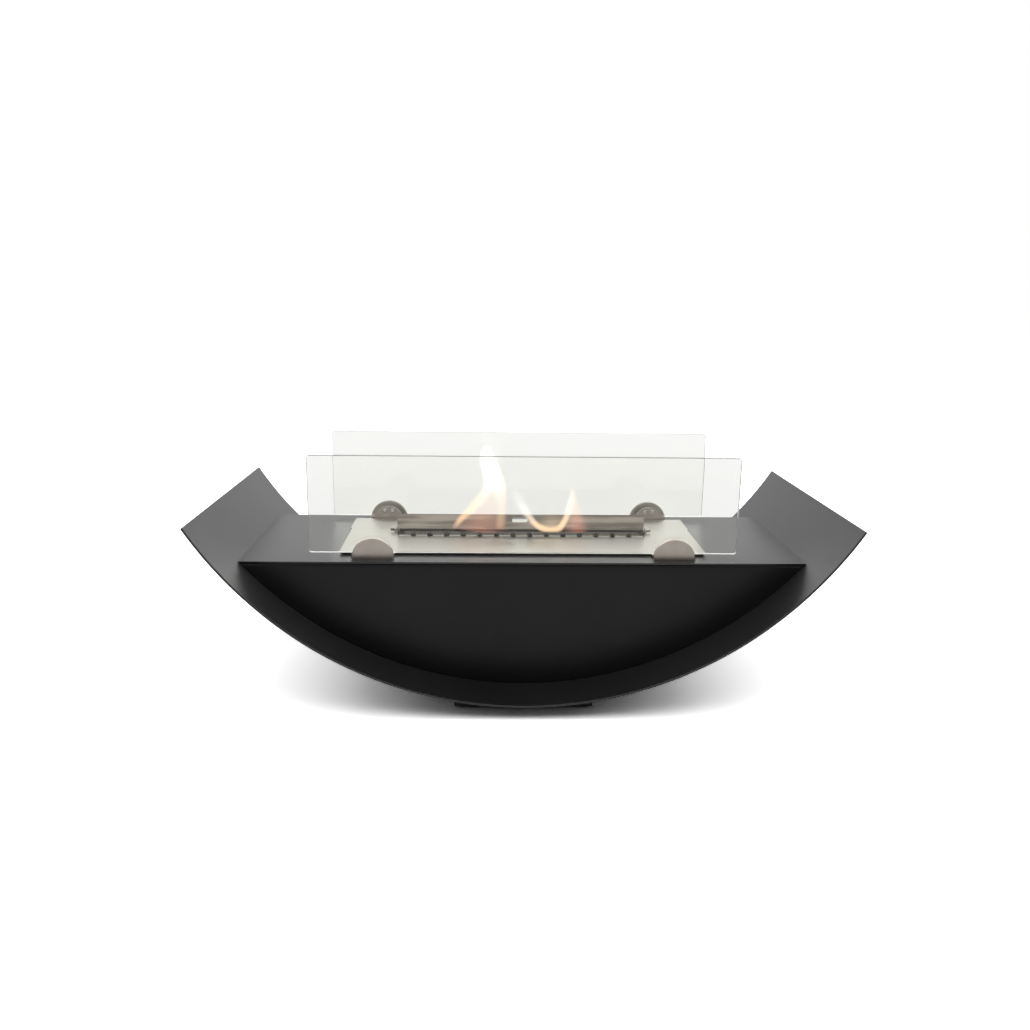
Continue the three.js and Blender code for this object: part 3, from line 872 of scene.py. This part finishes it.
@dataclass
class Burner(SubAssembly):
    """The drop-in burner: tank, flange, perforated strip, slot rim and fuel bed."""

    sheet_edge: float = 0.35 * MM
    wool_lump: float = 0.9 * MM
    wool_steps: tuple[int, int, int] = (96, 28, 12)
    wool_round: float = 4.0 * MM
    wool_grain: float = 160.0
    wool_layers: int = 4

    def build(self) -> None:
        """Dresses the sheet steel and builds the wool."""
        self.dress(["burner_tank", "burner_flange", "burner_rear_plate"], BrushedSteel(), self.sheet_edge)
        # The air strip and the slot rim carry painted shade on their upright walls.
        self.dress(["air_strip"], SlotSteel())
        self.dress(["slot_rim"], RimSteel())
        self.dress(["wool_guard"], HeatedSteel())
        self.build_wool()

    def build_wool(self) -> None:
        """Makes the matted fibre pad that stands for its plain solid."""
        low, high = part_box("fuel_wool")
        inset = Vector((self.wool_lump,) * 3)
        low, high = low + inset, high - inset
        middle, half = (low + high) / 2, (high - low) / 2
        work = bmesh.new()
        bmesh.ops.create_cube(work, size=2.0)
        for axis, cuts in enumerate(self.wool_steps):
            across = [e for e in work.edges if abs((e.verts[0].co - e.verts[1].co)[axis]) > SAME]
            bmesh.ops.subdivide_edges(work, edges=across, cuts=cuts, use_grid_fill=True)
        for vertex in work.verts:
            point = Vector(v * h for v, h in zip(vertex.co, half))
            core = [h - self.wool_round for h in half]
            inner = Vector(max(-c, min(c, p)) for p, c in zip(point, core))
            outward = (point - inner).normalized()
            rounded = inner + outward * self.wool_round
            lump = noise.fractal(rounded * self.wool_grain, 1.0, 2.0, self.wool_layers)
            vertex.co = middle + rounded + outward * self.wool_lump * max(-1.0, min(1.0, lump))
        mesh = bpy.data.meshes.new("wool_pad")
        work.to_mesh(mesh)
        work.free()
        mesh.shade_smooth()
        pad = new_piece("wool_pad", mesh, FibreWool())
        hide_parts("fuel_wool")
        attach(pad, "burner")
        log.info("built wool_pad over fuel_wool")


@dataclass
class Lid(SubAssembly):
    """The hinged lid with its ears and pins."""

    sheet_edge: float = 0.3 * MM

    def build(self) -> None:
        """Dresses the lid, its ears and its pins."""
        self.dress(["lid"], HeatedSteel(), self.sheet_edge)
        self.dress(places(["lid_ear"], SIDES), BrushedSteel(), self.sheet_edge)
        self.dress(places(["lid_pin"], SIDES), HeatedSteel())


@dataclass
class Windscreen(SubAssembly):
    """Two glass panes in four half-round clamps."""

    pane_edge: float = 0.6 * MM
    clamp_edge: float = 0.3 * MM

    def build(self) -> None:
        """Dresses the panes, the clamps, their liners and their screws."""
        self.dress(["glass_front"], FrontGlass(), self.pane_edge)
        self.dress(["glass_rear"], ClearGlass(), self.pane_edge)
        self.dress(places(["clamp"], ENDS, SIDES), SatinNickel(), self.clamp_edge)
        self.dress(places(["clamp_liner"], ENDS, SIDES), Silicone())
        self.dress(places(["set_screw", "clamp_bolt"], ENDS, SIDES, ["a", "b"]), ScrewSteel())


# ------------------------------------------------------------------ flame


@dataclass(frozen=True)
class Tongue:
    """One tongue, ribbon or veil of flame.

    Attributes:
        name: The piece's name.
        line: Its centre line of (x, z, half width) in millimetres, from its foot to its tip.
        depth: Half its thickness along Y, in millimetres.
        cover: How much each of its two walls hides, from 0 to 1, at the middle of its width.
        heat: How hot it is at even steps from its foot to its tip, from 0 to 1.
        fade: Over what share of its length it fades in at its foot and out at its tip.
    """

    name: str
    line: tuple[Triple, ...]
    depth: float
    cover: float
    heat: tuple[float, ...]
    fade: tuple[float, float]


@dataclass
class Flame:
    """The fire over the slot: pale veils with brighter ribbons and a white core in them."""

    COVER = "cover"
    WARMTH = "warmth"

    slot_y: float = 0.0
    foot_z: float = 0.1705
    top_z: float = 0.2792
    shut_height: float = 0.005
    rings: int = 56
    around: int = 36
    edge_softness: float = 1.9
    look_ahead: float = 0.01
    tongues: tuple[Tongue, ...] = field(
        default_factory=lambda: (
            Tongue("flame_left_veil", (
                (-50.5, 171.5, 36), (-49, 182, 32.5), (-44, 195, 27), (-37, 208, 19.5),
                (-33, 222, 15), (-35, 238, 14), (-40, 255, 12.5), (-43, 268, 9), (-44.5, 279, 4),
            ), 9.0, 0.065, (0.1, 0.25, 0.6, 0.9), (0.0, 0.15)),
            Tongue("flame_left_leg", (
                (-85, 172, 4), (-74.5, 185.5, 5.5), (-61, 199, 7.5), (-49.5, 212, 8.5), (-41.5, 226, 8.5),
                (-42, 242, 8), (-46, 257, 7), (-46.5, 270, 5), (-44.5, 278.5, 2.5),
            ), 4.5, 0.22, (0.3, 0.65, 1.0, 1.0), (0.12, 0.2)),
            Tongue("flame_left_core", (
                (-28, 196, 6), (-29, 216, 9.5), (-32.5, 234, 12.5), (-38.5, 252, 12.5),
                (-43, 266, 10.5), (-44.5, 278.5, 5),
            ), 6.0, 0.40, (0.95, 1.0), (0.7, 0.45)),
            Tongue("flame_left_edge", (
                (-26, 172, 9), (-25.5, 184, 8.5), (-24, 198, 7), (-22, 214, 5.5), (-22, 230, 4.5),
                (-26, 246, 3),
            ), 4.0, 0.1, (0.25, 0.6, 1.0), (0.1, 0.3)),
            Tongue("flame_ribbon", (
                (-11, 232, 4), (-6, 215, 8), (2.5, 199.5, 7.5), (10, 188.5, 5.5), (17.5, 179.8, 5),
                (26, 174.6, 5), (36, 172.6, 5.2), (46.5, 175, 5.2), (53, 184, 5), (57, 195, 5.5),
                (60, 207, 6.5), (61.2, 219, 5), (61.2, 229, 2),
            ), 5.0, 0.34, (1.0, 0.9, 0.62, 0.52, 0.6, 0.85, 0.95), (0.42, 0.4)),
            Tongue("flame_right_veil", (
                (68.7, 171.5, 17), (68, 182, 14.5), (66.5, 193, 11.5), (64.2, 206, 8), (62.3, 218, 5),
                (61, 229, 2),
            ), 7.0, 0.085, (0.05, 0.2, 0.6, 0.9), (0.0, 0.2)),
            Tongue("flame_middle_veil", (
                (36.5, 171.5, 18), (36.5, 180, 16.5), (36.5, 189, 13.5), (36.5, 200, 9),
            ), 6.0, 0.04, (0.4, 0.7), (0.0, 0.5)),
        )
    )

    def build(self) -> None:
        """Builds each tongue as a lofted shell that stands on the slot."""
        for tongue in self.tongues:
            self.build_tongue(tongue)

    def build_tongue(self, tongue: Tongue) -> None:
        """Lofts one tongue, thinner where it is narrower.

        Args:
            tongue: Its centre line and look.
        """
        work = bmesh.new()
        cover_layer = work.verts.layers.float.new(self.COVER)
        warmth_layer = work.verts.layers.float.new(self.WARMTH)
        rings = []
        for step in range(self.rings + 1):
            share = step / self.rings
            full = tongue.cover * self.faded(share, tongue.fade)
            warmth = self.stepped(tongue.heat, share)
            ring = []
            for corner, softness in self.ring(tongue, share):
                vertex = work.verts.new(corner)
                vertex[cover_layer] = full * softness
                vertex[warmth_layer] = warmth
                ring.append(vertex)
            rings.append(ring)
        for lower, upper in zip(rings, rings[1:]):
            for k in range(self.around):
                n = (k + 1) % self.around
                work.faces.new((lower[k], lower[n], upper[n], upper[k]))
        work.faces.new(list(reversed(rings[0])))
        work.faces.new(rings[-1])
        mesh = bpy.data.meshes.new(tongue.name)
        work.to_mesh(mesh)
        work.free()
        mesh.shade_smooth()
        piece = new_piece(tongue.name, mesh, Fire())
        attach(piece, "burner")
        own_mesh(piece)
        log.info("built %s", tongue.name)

    def ring(self, tongue: Tongue, share: float) -> list[tuple[Triple, float]]:
        """The corners of one cross-section of a tongue.

        Args:
            tongue: The tongue.
            share: Where, as a share of its length from 0 to 1.

        Returns:
            Each corner's place in metres, and how much of the cover it keeps.
        """
        x, z, half = self.along(tongue.line, share)
        ahead = self.along(tongue.line, min(1.0, share + self.look_ahead))
        behind = self.along(tongue.line, max(0.0, share - self.look_ahead))
        run = math.hypot(ahead[0] - behind[0], ahead[1] - behind[1])
        across_x = (ahead[1] - behind[1]) / run
        across_z = (behind[0] - ahead[0]) / run
        depth = min(tongue.depth, half)
        corners = []
        for k in range(self.around):
            angle = 2 * math.pi * k / self.around
            u = math.cos(angle)
            height = (z + across_z * half * u) * MM
            place = (
                (x + across_x * half * u) * MM,
                self.slot_y + depth * math.sin(angle) * MM,
                max(self.foot_z, min(self.top_z, height)),
            )
            corners.append((place, (1 - u * u) ** self.edge_softness))
        return corners

    @staticmethod
    def stepped(values: Sequence[float], share: float) -> float:
        """Reads a row of evenly spaced values.

        Args:
            values: The values.
            share: Where it is read, as a share of the row's length from 0 to 1.

        Returns:
            The value there.
        """
        place = share * (len(values) - 1)
        k = min(int(place), len(values) - 2)
        return values[k] + (values[k + 1] - values[k]) * (place - k)

    @staticmethod
    def faded(share: float, fade: tuple[float, float]) -> float:
        """How full a tongue is at one place.

        Args:
            share: The place, as a share of its length from 0 to 1.
            fade: Over what share of its length it fades in and out.

        Returns:
            Its fullness, from 0 to 1.
        """
        foot, tip = fade
        rise = min(1.0, share / foot) if foot else 1.0
        fall = min(1.0, (1 - share) / tip) if tip else 1.0
        return rise * rise * (3 - 2 * rise) * fall * fall * (3 - 2 * fall)

    @staticmethod
    def along(line: Sequence[Triple], share: float) -> Triple:
        """A smooth point on a centre line.

        Args:
            line: The line's (x, z, half width).
            share: Where, as a share of its length from 0 to 1.

        Returns:
            The point's x, z and half width.
        """
        place = share * (len(line) - 1)
        k = min(int(place), len(line) - 2)
        s = place - k
        four = (line[max(k - 1, 0)], line[k], line[k + 1], line[min(k + 2, len(line) - 1)])
        return tuple(
            0.5 * (2 * b + (c - a) * s + (2 * a - 5 * b + 4 * c - d) * s * s
                   + (3 * b - a - 3 * c + d) * s ** 3)
            for a, b, c, d in zip(*four)
        )


# ------------------------------------------------------------------ studio


class Side(Enum):
    """Where a lamp hangs, as a direction from the fireplace."""

    TOP = (0.0, 0.05, 1.0)


@dataclass
class Studio:
    """Floor, light and camera. Nothing here is part of the fireplace."""

    frame_px: float = 1030.0
    focal_px: float = 950.0
    sensor: float = 36.0
    near_clip: float = 0.01
    eye: Triple = (-0.04334, -1.13267, 0.46263)
    yaw: float = 0.0312
    pitch: float = 0.23533
    roll: float = 0.01326
    floor_half: float = 6.0
    front_room: float = 0.30
    front_part: tuple[float, float] = (-0.75, -0.05)
    low_light: float = 0.02
    side_light: float = 2.0
    side_part: tuple[float, float] = (0.15, 0.85)
    high_part: tuple[float, float] = (0.3, 0.8)
    lamp_distance: float = 1.8
    lamp_size: tuple[float, float] = (3.6, 3.6)
    lamp_power: float = 42.8

    def build(self) -> None:
        """Sets up the camera, the world, the lamp and the floor."""
        self.build_camera()
        self.build_world()
        self.build_lamp()
        self.build_floor()
        bpy.context.scene.view_settings.view_transform = "Standard"

    def build_camera(self) -> None:
        """Places the camera at the photograph's viewing angle."""
        data = bpy.data.cameras.new("camera")
        data.sensor_width = self.sensor
        data.lens = self.focal_px / self.frame_px * self.sensor
        data.clip_start = self.near_clip
        turn = (
            Matrix.Rotation(self.roll, 3, "Y")
            @ Matrix.Rotation(self.pitch, 3, "X")
            @ Matrix.Rotation(self.yaw, 3, "Z")
        )
        right, forward, up = turn.row
        camera = bpy.data.objects.new("camera", data)
        view = Matrix((right, up, -forward)).transposed().to_4x4()
        camera.matrix_world = Matrix.Translation(self.eye) @ view
        bpy.context.scene.collection.objects.link(camera)
        bpy.context.scene.camera = camera
        log.info("placed the camera")

    def build_world(self) -> None:
        """White where it is seen, with a dimmer room in front, and lit from its two sides."""
        world = bpy.data.worlds.new("studio")
        bpy.context.scene.world = world
        graph = Graph(world)
        direction = graph.node("ShaderNodeTexCoord", out="Generated")
        sideways, backward, upward = graph.axes(direction)
        room = backward.ramp(*self.front_part, self.front_room, 1.0)
        beside = abs(sideways).ramp(*self.side_part) * upward.ramp(*self.high_part)
        walls = beside * (self.side_light - self.low_light) + self.low_light
        path = "ShaderNodeLightPath"
        seen = graph.node(path, out="Is Camera Ray") + graph.node(path, out="Is Transmission Ray")
        mirrored = graph.node(path, out="Is Glossy Ray")
        strength = seen + mirrored * room + (1 - seen - mirrored) * walls
        values = {"Color": (1.0, 1.0, 1.0, 1.0), "Strength": strength}
        graph.finish(graph.node("ShaderNodeBackground", {}, values), "ShaderNodeOutputWorld")
        log.info("lit the room")

    def build_lamp(self) -> None:
        """Hangs one large soft lamp over the fireplace."""
        data = bpy.data.lights.new("softbox", "AREA")
        data.shape = "RECTANGLE"
        data.size, data.size_y = self.lamp_size
        data.energy = self.lamp_power
        lamp = bpy.data.objects.new("softbox", data)
        direction = Vector(Side.TOP.value).normalized()
        lamp.location = direction * self.lamp_distance
        lamp.rotation_euler = direction.to_track_quat("Z", "Y").to_euler()
        bpy.context.scene.collection.objects.link(lamp)
        log.info("hung the softbox")

    def build_floor(self) -> None:
        """Lays the floor."""
        half = self.floor_half
        mesh = bpy.data.meshes.new("floor")
        corners = [(-half, -half, 0), (half, -half, 0), (half, half, 0), (-half, half, 0)]
        mesh.from_pydata(corners, [], [(0, 1, 2, 3)])
        new_piece("floor", mesh, PaleFloor())
        log.info("laid the floor")


# ------------------------------------------------------------------ main


def main() -> None:
    """Builds the studio and every sub-assembly."""
    Studio().build()
    for assembly in (Body(), Burner(), Lid(), Windscreen(), Flame()):
        log.info("building %s", type(assembly).__name__)
        assembly.build()


if __name__ == "__main__":
    logging.basicConfig(level=logging.INFO, format="%(name)s: %(message)s")
    main()
